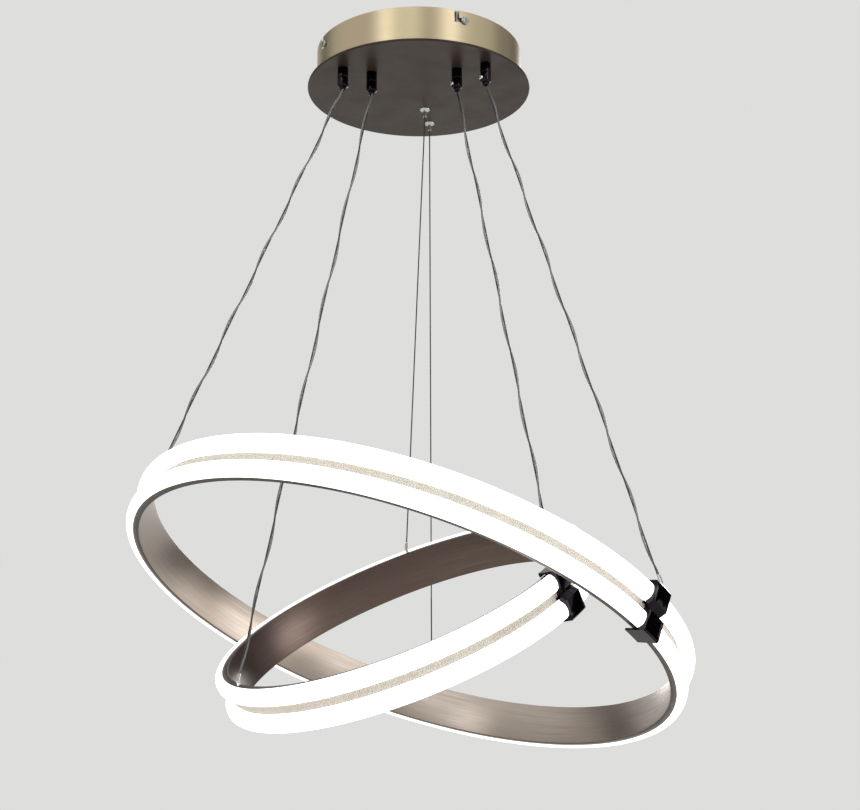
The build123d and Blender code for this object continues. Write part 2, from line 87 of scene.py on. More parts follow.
def linear(code: str) -> tuple[float, float, float, float]:
    """Turn an sRGB colour to linear light.

    Args:
        code: The colour as "#RRGGBB".

    Returns:
        Red, green and blue in linear light, and an alpha of one.
    """
    channels = [int(code[k : k + 2], 16) / 255 for k in (1, 3, 5)]
    light = [c / 12.92 if c <= 0.04045 else ((c + 0.055) / 1.055) ** 2.4 for c in channels]
    return (light[0], light[1], light[2], 1.0)


def add_node(
    tree: NodeTree, kind: str, inputs: dict | None = None, **settings: object
) -> Node:
    """Add a node with its settings, values and links.

    Args:
        tree: The material's node tree.
        kind: The node's type name.
        inputs: Value or source socket for each input, by name or number.
        settings: The node's own properties.

    Returns:
        The new node.
    """
    node = tree.nodes.new(kind)
    for name, value in settings.items():
        setattr(node, name, value)
    for name, value in (inputs or {}).items():
        if isinstance(value, NodeSocket):
            tree.links.new(value, node.inputs[name])
        else:
            node.inputs[name].default_value = value
    return node


def turned_point(tree: NodeTree, place: Matrix) -> NodeSocket:
    """The shaded point in a place's own axes, in metres.

    Args:
        tree: The material's node tree.
        place: The place, in millimetres.

    Returns:
        The point's socket.
    """
    back = in_metres(place).inverted()
    point = add_node(tree, "ShaderNodeTexCoord").outputs["Object"]
    inputs = {"Vector": point, "Location": back.to_translation(), "Rotation": back.to_euler()}
    return add_node(tree, "ShaderNodeMapping", inputs).outputs["Vector"]


def axis_distance(tree: NodeTree, point: NodeSocket) -> NodeSocket:
    """Distance of a point from the Z axis.

    Args:
        tree: The material's node tree.
        point: The point's socket.

    Returns:
        The distance's socket.
    """
    inputs = {0: point, 1: (1.0, 1.0, 0.0)}
    flat = add_node(tree, "ShaderNodeVectorMath", inputs, operation="MULTIPLY")
    reach = add_node(tree, "ShaderNodeVectorMath", {0: flat.outputs["Vector"]}, operation="LENGTH")
    return reach.outputs["Value"]


def faded(
    tree: NodeTree,
    value: NodeSocket,
    span: tuple[float, float],
    first: object,
    second: object,
    most: float = 1.0,
) -> NodeSocket:
    """Colour that goes from one to another as a value crosses a span.

    Args:
        tree: The material's node tree.
        value: The value.
        span: Where the first colour ends, and where the second is reached.
        first: The first colour, or its socket.
        second: The second colour, or its socket.
        most: Greatest share of the second colour.

    Returns:
        The colour's socket.
    """
    inputs = {"Value": value, "From Min": span[0], "From Max": span[1], "To Max": most}
    share = add_node(tree, "ShaderNodeMapRange", inputs)
    inputs = {0: share.outputs["Result"], 6: first, 7: second}
    return add_node(tree, "ShaderNodeMix", inputs, data_type="RGBA").outputs[2]


def ring_place(centre: tuple, lean_right: float, lean_away: float) -> Matrix:
    """Place of a ring's own plane, Z along its axis and X level.

    Args:
        centre: The ring's centre, in millimetres.
        lean_right: Lean of its axis towards +X, in degrees.
        lean_away: Lean of its axis towards +Y, in degrees.

    Returns:
        The matrix from the ring's plane to the frame, in millimetres.
    """
    x = math.sin(math.radians(lean_right))
    y = math.sin(math.radians(lean_away))
    normal = Vector((x, y, math.sqrt(1 - x * x - y * y)))
    level = Vector((0, 1, 0)).cross(normal).normalized()
    turn = Matrix((level, normal.cross(level), normal)).transposed().to_4x4()
    return Matrix.Translation(centre) @ turn


def scene_object(name: str, data: ID) -> Object:
    """Make an object and put it in the scene.

    Args:
        name: The object's name.
        data: Its mesh, curve, light or camera.

    Returns:
        The new object.
    """
    thing = bpy.data.objects.new(name, data)
    bpy.context.scene.collection.objects.link(thing)
    return thing


def in_metres(place: Matrix) -> Matrix:
    """The same place with its offset in metres.

    Args:
        place: The place, its offset in millimetres.

    Returns:
        The new place.
    """
    moved = place.copy()
    moved.translation = place.translation * MM
    return moved


# ---- finishes --------------------------------------------------------------------------


@dataclass(frozen=True)
class Finish:
    """What every finish has: its real material's name, colour and shader constants."""

    name: str
    colour: str
    roughness: float
    metallic: float = 0.0
    ior: float = 1.5

    def begin(self) -> tuple[Material, NodeTree, Node]:
        """Make the material with its constants set.

        Returns:
            The material, its node tree and its shader.
        """
        material = bpy.data.materials.new(self.name)
        material.use_nodes = True
        shader = material.node_tree.nodes["Principled BSDF"]
        shader.inputs["Base Color"].default_value = linear(self.colour)
        shader.inputs["Roughness"].default_value = self.roughness
        shader.inputs["Metallic"].default_value = self.metallic
        shader.inputs["IOR"].default_value = self.ior
        return material, material.node_tree, shader

    def material(self) -> Material:
        """The finished material."""
        return self.begin()[0]


@dataclass(frozen=True)
class BrushedMetal(Finish):
    """Metal brushed round an axis: fine lines along the turn, a slow change of tone, and painted
    shade on its rims.
    """

    groove: str = "#000000"
    tone: str = "#000000"
    pitch_mm: float = 0.9
    stroke_mm: float = 70.0
    stroke_span: tuple[float, float] = (0.32, 0.68)
    tone_mm: float = 120.0
    tone_span: tuple[float, float] = (0.40, 0.68)
    tone_share: float = 0.75
    spread: float = 0.10
    gloss_span: tuple[float, float] = (0.3, 0.7)
    relief: float = 0.25
    relief_mm: float = 0.08
    # The rim colour is painted shade on the rim faces above and below, and the rim edge colour is a
    # painted shadow line at their inner edge.
    rim: str = "#000000"
    rim_edge_painted_shadow: str = "#000000"
    rim_height_mm: float = 1000.0
    rim_blend_mm: float = 0.4
    rim_radius_mm: float = 0.0
    rim_fade_mm: tuple[float, float] = (1.8, 5.5)
    place: Matrix = field(default_factory=lambda: Matrix.Identity(4))

    def with_painted_rim_shade(
        self, tree: NodeTree, point: NodeSocket, face: NodeSocket
    ) -> NodeSocket:
        """Colour with painted shade on the rim above and below the face, darkest in a painted
        shadow line at the rim's inner edge.

        Args:
            tree: The material's node tree.
            point: The shaded point, in the place's axes.
            face: The face's colour.

        Returns:
            The colour's socket.
        """
        near, far = ((self.rim_radius_mm + inset) * MM for inset in self.rim_fade_mm)
        edge, outer = linear(self.rim_edge_painted_shadow), linear(self.rim)
        rim = faded(tree, axis_distance(tree, point), (near, far), edge, outer)
        parts = add_node(tree, "ShaderNodeSeparateXYZ", {0: point})
        height = add_node(tree, "ShaderNodeMath", {0: parts.outputs["Z"]}, operation="ABSOLUTE")
        low = self.rim_height_mm * MM
        high = low + self.rim_blend_mm * MM
        return faded(tree, height.outputs[0], (low, high), face, rim)

    def material(self) -> Material:
        """The finished material, its lines running round the place's Z axis.

        Returns:
            The material.
        """
        material, tree, shader = self.begin()
        point = turned_point(tree, self.place)
        along, across = 1 / (self.stroke_mm * MM), 1 / (self.pitch_mm * MM)
        inputs = {0: point, 1: (along, along, across)}
        drawn = add_node(tree, "ShaderNodeVectorMath", inputs, operation="MULTIPLY")
        inputs = {"Vector": drawn.outputs["Vector"], "Scale": 1.0, "Detail": 4.0, "Roughness": 0.7}
        strokes = add_node(tree, "ShaderNodeTexNoise", inputs).outputs["Fac"]
        low, high = self.gloss_span
        inputs = {"Value": strokes, "From Min": low, "From Max": high}
        dull, bright = self.roughness + self.spread, self.roughness - self.spread
        gloss = add_node(tree, "ShaderNodeMapRange", inputs | {"To Min": dull, "To Max": bright})
        inputs = {"Height": strokes, "Strength": self.relief, "Distance": self.relief_mm * MM}
        bump = add_node(tree, "ShaderNodeBump", inputs)
        inputs = {"Vector": point, "Scale": 1 / (self.tone_mm * MM), "Detail": 1.0}
        slow = add_node(tree, "ShaderNodeTexNoise", inputs | {"Roughness": 0.4}).outputs["Fac"]
        lined = faded(tree, strokes, self.stroke_span, linear(self.groove), linear(self.colour))
        face = faded(tree, slow, self.tone_span, lined, linear(self.tone), self.tone_share)
        # Painted shade on the rims, with a painted shadow line at their inner edge.
        colour = self.with_painted_rim_shade(tree, point, face)
        tree.links.new(colour, shader.inputs["Base Color"])
        tree.links.new(gloss.outputs["Result"], shader.inputs["Roughness"])
        tree.links.new(bump.outputs["Normal"], shader.inputs["Normal"])
        return material


@dataclass(frozen=True)
class GrainedFinish(Finish):
    """A paint, moulding or plating with a fine grain and a faint mottle."""

    mottle: str = "#000000"
    grain_mm: float = 0.6
    mottle_mm: float = 30.0
    mottle_span: tuple[float, float] = (0.35, 0.65)
    relief: float = 0.15
    relief_mm: float = 0.03
    spread: float = 0.06

    def material(self) -> Material:
        """The finished material.

        Returns:
            The material.
        """
        material, tree, shader = self.begin()
        point = add_node(tree, "ShaderNodeTexCoord").outputs["Object"]
        inputs = {"Vector": point, "Scale": 1 / (self.grain_mm * MM), "Detail": 2.0}
        grain = add_node(tree, "ShaderNodeTexNoise", inputs)
        inputs = {"Vector": point, "Scale": 1 / (self.mottle_mm * MM), "Detail": 3.0}
        patches = add_node(tree, "ShaderNodeTexNoise", inputs).outputs["Fac"]
        mixed = faded(tree, patches, self.mottle_span, linear(self.colour), linear(self.mottle))
        low, high = self.mottle_span
        inputs = {"Value": patches, "From Min": low, "From Max": high}
        bright, dull = self.roughness - self.spread, self.roughness + self.spread
        gloss = add_node(tree, "ShaderNodeMapRange", inputs | {"To Min": bright, "To Max": dull})
        inputs = {"Height": grain.outputs["Fac"], "Strength": self.relief}
        bump = add_node(tree, "ShaderNodeBump", inputs | {"Distance": self.relief_mm * MM})
        tree.links.new(mixed, shader.inputs["Base Color"])
        tree.links.new(gloss.outputs["Result"], shader.inputs["Roughness"])
        tree.links.new(bump.outputs["Normal"], shader.inputs["Normal"])
        return material


@dataclass(frozen=True)
class OpalSilicone(Finish):
    """Lit opal silicone: brightest at the crown of the half-round, duller at its foot, partly its
    own glow falling off and partly painted shade where it meets the channel.
    """

    glow: str = "#FFFDFA"
    # The foot colour is partly painted shade where the lens meets the channel.
    foot: str = "#D9D5CF"
    strength: float = 1.0
    foot_radius: float = 1.0
    crown_radius: float = 2.0
    cloud_mm: float = 18.0
    cloud_share: float = 0.12
    place: Matrix = field(default_factory=lambda: Matrix.Identity(4))

    def material(self) -> Material:
        """The finished material, its glow following the distance from the ring's axis.

        Returns:
            The material.
        """
        material, tree, shader = self.begin()
        point = turned_point(tree, self.place)
        foot, crown = self.foot_radius * MM, self.crown_radius * MM
        inputs = {"Value": axis_distance(tree, point), "From Min": foot, "From Max": crown}
        height = add_node(tree, "ShaderNodeMapRange", inputs, interpolation_type="SMOOTHSTEP")
        inputs = {"Vector": point, "Scale": 1 / (self.cloud_mm * MM), "Detail": 2.0}
        cloud = add_node(tree, "ShaderNodeTexNoise", inputs)
        inputs = {0: cloud.outputs["Fac"], 1: self.cloud_share, 2: -self.cloud_share / 2}
        uneven = add_node(tree, "ShaderNodeMath", inputs, operation="MULTIPLY_ADD")
        inputs = {0: height.outputs["Result"], 1: uneven.outputs["Value"]}
        share = add_node(tree, "ShaderNodeMath", inputs, operation="ADD", use_clamp=True)
        inputs = {0: share.outputs["Value"], 6: linear(self.foot), 7: linear(self.glow)}
        lit = add_node(tree, "ShaderNodeMix", inputs, data_type="RGBA")
        tree.links.new(lit.outputs[2], shader.inputs["Emission Color"])
        shader.inputs["Emission Strength"].default_value = self.strength
        return material


@dataclass(frozen=True)
class ClearSheath(Finish):
    """Clear cable sheath, slightly grey, with faint ripples in it."""

    clearness: float = 0.7
    ripple: str = "#7E8180"
    ripple_mm: float = 3.0
    relief: float = 0.2
    relief_mm: float = 0.1

    def material(self) -> Material:
        """The finished material.

        Returns:
            The material.
        """
        material, tree, shader = self.begin()
        point = add_node(tree, "ShaderNodeTexCoord").outputs["Object"]
        inputs = {"Vector": point, "Scale": 1 / (self.ripple_mm * MM), "Detail": 1.0}
        ripples = add_node(tree, "ShaderNodeTexNoise", inputs).outputs["Fac"]
        inputs = {0: ripples, 6: linear(self.colour), 7: linear(self.ripple)}
        tint = add_node(tree, "ShaderNodeMix", inputs, data_type="RGBA")
        inputs = {"Height": ripples, "Strength": self.relief, "Distance": self.relief_mm * MM}
        bump = add_node(tree, "ShaderNodeBump", inputs)
        tree.links.new(tint.outputs[2], shader.inputs["Base Color"])
        tree.links.new(bump.outputs["Normal"], shader.inputs["Normal"])
        shader.inputs["Transmission Weight"].default_value = self.clearness
        return material


# ---- shaping ---------------------------------------------------------------------------


class Blank:
    """A bmesh in millimetres that operators shape and that is then set down as a piece."""

    def __init__(self) -> None:
        """Start with nothing."""
        self.bm = bmesh.new()

    def outline(
        self,
        points: list[tuple[float, float]],
        rounding: float = 0.0,
        rounded: tuple[int, ...] = (),
        segments: int = 3,
    ) -> "Blank":
        """Add a flat outline with rounded corners, ready to be turned.

        Args:
            points: Corners as (radius, height).
            rounding: Radius of the corners.
            rounded: Numbers of the corners to round, or none for all of them.
            segments: Steps in each rounded corner.

        Returns:
            The blank itself.
        """
        corners = [self.bm.verts.new((x, 0.0, z)) for x, z in points]
        self.bm.faces.new(corners)
        if rounding:
            bmesh.ops.bevel(
                self.bm,
                geom=[corners[k] for k in rounded] or corners,
                offset=rounding,
                offset_type="OFFSET",
                segments=segments,
                profile=0.5,
                affect="VERTICES",
                clamp_overlap=True,
                material=-1,
            )
        return self

    def spin(self, steps: int, start: float = 0.0, sweep: float = 360.0) -> "Blank":
        """Turn the outline about Z.

        Args:
            steps: Number of steps.
            start: Azimuth of the first outline, in degrees.
            sweep: How far it turns, in degrees; less than a full turn leaves two closed ends.

        Returns:
            The blank itself.
        """
        bm = self.bm
        if start:
            turn = Matrix.Rotation(math.radians(start), 3, "Z")
            bmesh.ops.rotate(bm, verts=bm.verts, cent=(0, 0, 0), matrix=turn)
        full = sweep >= 360.0
        if full:
            bmesh.ops.delete(bm, geom=bm.faces[:], context="FACES_ONLY")
        bmesh.ops.spin(
            bm,
            geom=bm.verts[:] + bm.edges[:] + bm.faces[:],
            cent=(0, 0, 0),
            axis=(0, 0, 1),
            dvec=(0, 0, 0),
            angle=math.radians(sweep),
            steps=steps,
            use_merge=full,
            use_normal_flip=False,
            use_duplicate=False,
        )
        bmesh.ops.remove_doubles(bm, verts=bm.verts, dist=SPIN_WELD)
        loose = [edge for edge in bm.edges if not edge.link_faces]
        bmesh.ops.delete(bm, geom=loose, context="EDGES")
        bmesh.ops.recalc_face_normals(bm, faces=bm.faces)
        return self

    def move(self, place: Matrix) -> "Blank":
        """Carry the whole blank to a place."""
        bmesh.ops.transform(self.bm, matrix=place, verts=self.bm.verts)
        return self

    def settle(self, name: str, scale: float = MM) -> Object:
        """Set the blank down as an object at the origin, smooth except at its edges.

        Args:
            name: The piece's name.
            scale: From the blank's unit to metres.

        Returns:
            The new object.
        """
        bmesh.ops.scale(self.bm, vec=(scale, scale, scale), verts=self.bm.verts)
        open_edges = sum(1 for edge in self.bm.edges if not edge.is_manifold)
        mesh = bpy.data.meshes.new(name)
        for face in self.bm.faces:
            face.smooth = True
        self.bm.to_mesh(mesh)
        self.bm.free()
        mesh.set_sharp_from_angle(angle=math.radians(SMOOTH_BELOW))
        piece = scene_object(name, mesh)
        LOG.info("%s: %d faces, %d open edges", name, len(mesh.polygons), open_edges)
        return piece


def merged_copy(node: str, name: str) -> Object:
    """Copy a CAD node's mesh with its loose triangles merged to whole faces.

    Args:
        node: The CAD node.
        name: The new piece's name.

    Returns:
        The new object.
    """
    blank = Blank()
    blank.bm.from_mesh(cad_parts[node].data)
    bmesh.ops.remove_doubles(blank.bm, verts=blank.bm.verts, dist=CAD_WELD)
    bmesh.ops.dissolve_limit(
        blank.bm,
        angle_limit=math.radians(FLAT_WITHIN),
        verts=blank.bm.verts,
        edges=blank.bm.edges,
        delimit={"NORMAL"},
    )
    return blank.settle(name, scale=1.0)


def ease_edges(piece: Object, width_mm: float, angle: float = SMOOTH_BELOW) -> None:
    """Break a piece's sharp edges with a small rounded bevel.

    Args:
        piece: The piece.
        width_mm: Width of the bevel.
        angle: Edges sharper than this many degrees are broken.
    """
    bevel = piece.modifiers.new("eased_edges", "BEVEL")
    bevel.width = width_mm * MM
    bevel.segments = 2
    bevel.limit_method = "ANGLE"
    bevel.angle_limit = math.radians(angle)
    bevel.use_clamp_overlap = True
    bevel.harden_normals = True


def place_piece(
    piece: Object, body: str, slot: str, material: Material, *nodes: str
) -> Object:
    """Dress a piece and fix it to its body in place of its CAD nodes.

    Args:
        piece: The piece.
        body: The body that carries it.
        slot: The record's material slot; not used.
        material: Its material.
        nodes: The CAD nodes it stands for.

    Returns:
        The piece.
    """
    piece.data.materials.clear()
    piece.data.materials.append(material)
    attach(piece, body)
    if nodes:
        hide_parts(*nodes)
    return piece


def refinished(node: str, material: Material) -> None:
    """Give a CAD node that is kept its material.

    Args:
        node: The CAD node.
        material: Its material.
    """
    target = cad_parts[node]
    target.data.materials.clear()
    target.data.materials.append(material)
    LOG.info("%s: CAD node kept", node)


def route_points(control: list[Vector]) -> list[Vector]:
    """Points along the smooth line that a route's points control.

    Args:
        control: The route's points, in metres.

    Returns:
        Points read from the route's NURBS spline.
    """
    curve = bpy.data.curves.new("route", "CURVE")
    curve.dimensions = "3D"
    curve.resolution_u = 64
    spline = curve.splines.new("NURBS")
    spline.points.add(len(control) - 1)
    for point, place in zip(spline.points, control):
        point.co = (*place, 1.0)
    spline.order_u = 3
    spline.use_endpoint_u = True
    holder = scene_object("route", curve)
    bpy.context.view_layer.update()
    mesh = bpy.data.meshes.new_from_object(holder)
    points = [vertex.co.copy() for vertex in mesh.vertices]
    bpy.data.objects.remove(holder)
    bpy.data.curves.remove(curve)
    bpy.data.meshes.remove(mesh)
    return points


def evenly(points: list[Vector], spacing: float) -> list[Vector]:
    """Walk along a line of points in even steps.

    Args:
        points: The line.
        spacing: Wanted distance between steps.

    Returns:
        Evenly spaced points, the line's two ends among them.
    """
    lengths = [0.0]
    for before, after in zip(points, points[1:]):
        lengths.append(lengths[-1] + (after - before).length)
    count = max(2, round(lengths[-1] / spacing))
    walked, k = [], 0
    for step in range(count + 1):
        target = lengths[-1] * step / count
        while k < len(points) - 2 and lengths[k + 1] < target:
            k += 1
        run = max(lengths[k + 1] - lengths[k], 1e-12)
        walked.append(points[k].lerp(points[k + 1], min(1.0, (target - lengths[k]) / run)))
    return walked


def tube_along(
    name: str, points: list[Vector], radius: float, lobes: int = 0, lay: float = 0.01
) -> Object:
    """Make a mesh tube along points, plain or with twisted strands.

    Args:
        name: The piece's name.
        points: The line it follows, in metres.
        radius: Its radius, in metres.
        lobes: Number of strands, or none for a plain round tube.
        lay: Length of one turn of the strands, in metres.

    Returns:
        The new object.
    """
    curve = bpy.data.curves.new(name, "CURVE")
    curve.dimensions = "3D"
    curve.use_fill_caps = True
    spline = curve.splines.new("POLY")
    spline.points.add(len(points) - 1)
    travelled = 0.0
    for k, (point, place) in enumerate(zip(spline.points, points)):
        travelled += (place - points[k - 1]).length if k else 0.0
        point.co = (*place, 1.0)
        point.tilt = 2 * math.pi * travelled / lay if lobes else 0.0
    section = None
    if lobes:
        shape = bpy.data.curves.new(name + "_section", "CURVE")
        ring = shape.splines.new("POLY")
        ring.points.add(2 * lobes - 1)
        for k, point in enumerate(ring.points):
            reach = radius if k % 2 == 0 else radius * STRAND_VALLEY
            turn = math.pi * k / lobes
            point.co = (reach * math.cos(turn), reach * math.sin(turn), 0.0, 1.0)
        ring.use_cyclic_u = True
        section = scene_object(name + "_section", shape)
        curve.bevel_mode = "OBJECT"
        curve.bevel_object = section
    else:
        curve.bevel_depth = radius
        curve.bevel_resolution = 3
    holder = scene_object(name + "_line", curve)
    ready = bpy.context.evaluated_depsgraph_get()
    mesh = bpy.data.meshes.new_from_object(holder.evaluated_get(ready), depsgraph=ready)
    bpy.data.objects.remove(holder)
    if section:
        bpy.data.objects.remove(section)
    blank = Blank()
    blank.bm.from_mesh(mesh)
    bmesh.ops.remove_doubles(blank.bm, verts=blank.bm.verts, dist=TUBE_WELD)
    bmesh.ops.recalc_face_normals(blank.bm, faces=blank.bm.faces)
    bpy.data.meshes.remove(mesh)
    return blank.settle(name, scale=1.0)


# ---- finishes of this chandelier -------------------------------------------------------

# Brass, brushed round the drum and left to age: champagne gold with greener and pinker parts.
DRUM_BRASS = BrushedMetal(
    "aged_brushed_brass", "#C2B597", 0.38, 1.0,
    groove="#BAAD8B", tone="#C9B29C", pitch_mm=0.35, stroke_mm=90.0, tone_mm=110.0, spread=0.03,
    relief=0.03,
)
# Satin bronze paint baked on sheet steel: dark, warm and even, a soft sheen and a fine grain.
PLATE_PAINT = GrainedFinish(
    "satin_bronze_paint", "#372B24", 0.34, ior=1.34, mottle="#342922", grain_mm=0.5, relief=0.08,
)
# Nickel plating over brass, polished: clear reflections and a faint haze from handling.
POLISHED_CHROME = GrainedFinish(
    "polished_nickel_chrome", "#D6D6D4", 0.10, 1.0, mottle="#C4C4C2", relief=0.02, spread=0.03,
)
# Black nickel plating, polished: dark and slightly purple, with sharp reflections.
BLACK_CHROME = GrainedFinish(
    "polished_black_nickel", "#2A262B", 0.09, 1.0, mottle="#242025", relief=0.02, spread=0.02,
)
# Galvanised 7x7 rope: dull grey wire, cloudy where it is worn.
ROPE_STEEL = GrainedFinish(
    "galvanised_rope_wire", "#5C5B59", 0.38, 1.0, mottle="#4E4D4C", grain_mm=0.8, mottle_mm=6.0,
    relief=0.05,
)
# Clear PVC sheath: glassy, slightly grey.
FEED_SHEATH = ClearSheath("clear_pvc_sheath", "#8F9190", 0.22, ior=1.53, clearness=0.35)
# Bright zinc plating on pressed steel: cool grey with a faint cloudy pattern.
ZINC = GrainedFinish(
    "zinc_plated_steel", "#B9BCBD", 0.36, 1.0, mottle="#9EA2A4", grain_mm=1.2, mottle_mm=12.0,
    relief=0.1,
)
# Black felt on the studio's cards: it soaks up light.
CARD_FELT = GrainedFinish("black_felt", "#1C1B1A", 0.95, mottle="#161514", grain_mm=2.0)
# Moulded polycarbonate: white, matt, with a spark-eroded grain.
CASE_MOULDING = GrainedFinish(
    "moulded_polycarbonate", "#DEDDD8", 0.48, mottle="#D6D5CF", grain_mm=0.7, relief=0.3, ior=1.58,
)
# White solder resist on a light board: slightly glossy lacquer.
BOARD_LACQUER = GrainedFinish(
    "white_solder_resist", "#F0EFE9", 0.35, mottle="#E4E2DA", grain_mm=1.0, mottle_mm=8.0,
    relief=0.1,
)
# White lacquer, matt, on the studio's floor.
FLOOR_LACQUER = GrainedFinish(
    "matt_floor_lacquer", "#E4E3E0", 0.7, mottle="#E2E1DE", mottle_mm=400.0
)
# Extruded silicone strip: cream, matt, its ribs are in the mesh.
STRIP_SILICONE = GrainedFinish(
    "ribbed_silicone", "#C6C2BB", 0.6, mottle="#C0BBB3", grain_mm=0.8, mottle_mm=15.0, relief=0.1,
    ior=1.41,
)


# ---- canopy ----------------------------------------------------------------------------


@dataclass(frozen=True)
class EasedCopy:
    """A piece made from its CAD node, with its edges eased, in millimetres."""

    node: str
    name: str
    body: str
    slot: str
    edge: float

    def build(self, finishes: Finishes) -> None:
        """Make and dress the piece.

        Args:
            finishes: Materials by the record's slot.
        """
        piece = merged_copy(self.node, self.name)
        ease_edges(piece, self.edge)
        place_piece(piece, self.body, self.slot, finishes[self.slot], self.node)


@dataclass
class Canopy:
    """The ceiling bracket, the drum and its plate, and what is inside them."""

    pieces: tuple[EasedCopy, ...] = (
        EasedCopy("ceiling_bracket", "bracket_cross", "bracket", "zinc_steel", 0.25),
        EasedCopy("bracket_lock_screws", "round_head_screws", "bracket", "zinc_steel", 0.15),
        EasedCopy("terminal_block", "mains_terminals", "bracket", "white_moulding", 0.3),
        EasedCopy("canopy_shell", "drum_wall", "canopy", "brushed_brass", 0.18),
        EasedCopy("canopy_plate", "bottom_plate", "canopy", "bronze_paint", 0.3),
        EasedCopy("driver_big_ring", "large_driver_case", "canopy", "white_moulding", 0.6),
        EasedCopy("driver_small_ring", "small_driver_case", "canopy", "white_moulding", 0.6),
        EasedCopy("stud_nuts", "hexagon_nuts", "canopy", "zinc_steel", 0.2),
    )

    def build(self, finishes: Finishes) -> None:
        """Make and dress every piece of the canopy.

        Args:
            finishes: Materials by the record's slot.
        """
        for piece in self.pieces:
            piece.build(finishes)


# ---- grippers and outlets --------------------------------------------------------------


@dataclass
class Gripper:
    """A turned rope gripper: barrel with stud, sliding nozzle and lock pin."""

    name: str
    at: tuple[float, float]
    pin_azimuth: float
    plate_under: float = PLATE_UNDER
    stud_top: float = STUD_TOP
    stud_radius: float = STUD_RADIUS
    radius: float = 5.75
    length: float = 22.0
    chamfer: float = 1.3
    bore: float = 3.5
    bore_depth: float = 13.5
    wire_bore: float = 2.2
    seam: float = 0.7
    seam_depth: float = 0.35
    nozzle_out: float = 3.5
    nozzle_length: float = 13.0
    nozzle_gap: float = 0.2
    nozzle_tip: float = 2.9
    tip_height: float = 2.0
    pin_height: float = 4.5
    pin_radius: float = 1.2
    pin_clearance: float = 0.2
    knob_radius: float = 2.4
    knob_length: float = 2.4
    knob_gap: float = 0.4
    knob_edge: float = 0.5
    socket_mouth: float = 1.25
    socket_radius: float = 1.1
    socket_depth: float = 1.3

    @property
    def place(self) -> Matrix:
        """Where the gripper's axis stands."""
        return Matrix.Translation((*self.at, 0.0))

    def barrel(self) -> Object:
        """The barrel, with a rolled seam half way and its stepped bore.

        Returns:
            The new object.
        """
        end = self.plate_under - self.length
        middle = self.plate_under - self.length / 2
        step = end + self.bore_depth
        corners = [
            (self.wire_bore, self.stud_top), (self.stud_radius, self.stud_top),
            (self.stud_radius, self.plate_under), (self.radius, self.plate_under),
            (self.radius, middle + self.seam / 2), (self.radius - self.seam_depth, middle),
            (self.radius, middle - self.seam / 2), (self.radius, end + self.chamfer),
            (self.radius - self.chamfer, end), (self.bore, end), (self.bore, step),
            (self.wire_bore, step),
        ]
        blank = Blank().outline(corners, rounding=0.22).spin(steps=56).move(self.place)
        return blank.settle(f"barrel_{self.name}")

    def nozzle(self) -> Object:
        """The sliding nozzle with its tapered tip.

        Returns:
            The new object.
        """
        tip = self.plate_under - self.length - self.nozzle_out
        outer = self.bore - self.nozzle_gap
        corners = [
            (self.wire_bore, tip + self.nozzle_length), (outer, tip + self.nozzle_length),
            (outer, tip + self.tip_height), (self.nozzle_tip, tip), (self.wire_bore, tip),
        ]
        blank = Blank().outline(corners, rounding=0.25).spin(steps=40).move(self.place)
        return blank.settle(f"nozzle_{self.name}")

    def lock_pin(self) -> Object:
        """The lock pin: a thin shank and a round knob with a socket in its end.

        Returns:
            The new object.
        """
        inner = self.bore + self.pin_clearance
        seat = self.radius + self.knob_gap
        outer = seat + self.knob_length
        corners = [
            (0.0, inner), (self.pin_radius, inner), (self.pin_radius, seat),
            (self.knob_radius, seat), (self.knob_radius, outer - self.knob_edge),
            (self.knob_radius - self.knob_edge, outer), (self.socket_mouth, outer),
            (self.socket_radius, outer - self.socket_depth), (0.0, outer - self.socket_depth),
        ]
        lying = Matrix.Rotation(math.radians(90), 4, "Y")
        turn = Matrix.Rotation(math.radians(self.pin_azimuth), 4, "Z")
        height = Matrix.Translation((0, 0, self.plate_under - self.length + self.pin_height))
        blank = Blank().outline(corners).spin(steps=28).move(self.place @ height @ turn @ lying)
        piece = blank.settle(f"lock_pin_{self.name}")
        ease_edges(piece, width_mm=0.12)
        return piece

    def build(self, finishes: Finishes) -> None:
        """Make and dress the gripper's three pieces.

        Args:
            finishes: Materials by the record's slot.
        """
        key = self.name
        for piece, body, slot, node in (
            (self.barrel(), "canopy", "black_chrome", f"gripper_{key}_body"),
            (self.nozzle(), f"nozzle_{key}", "black_chrome", f"gripper_{key}_nozzle"),
            (self.lock_pin(), f"lock_pin_{key}", "bright_chrome", f"gripper_{key}_lock_pin"),
        ):
            place_piece(piece, body, slot, finishes[slot], node)


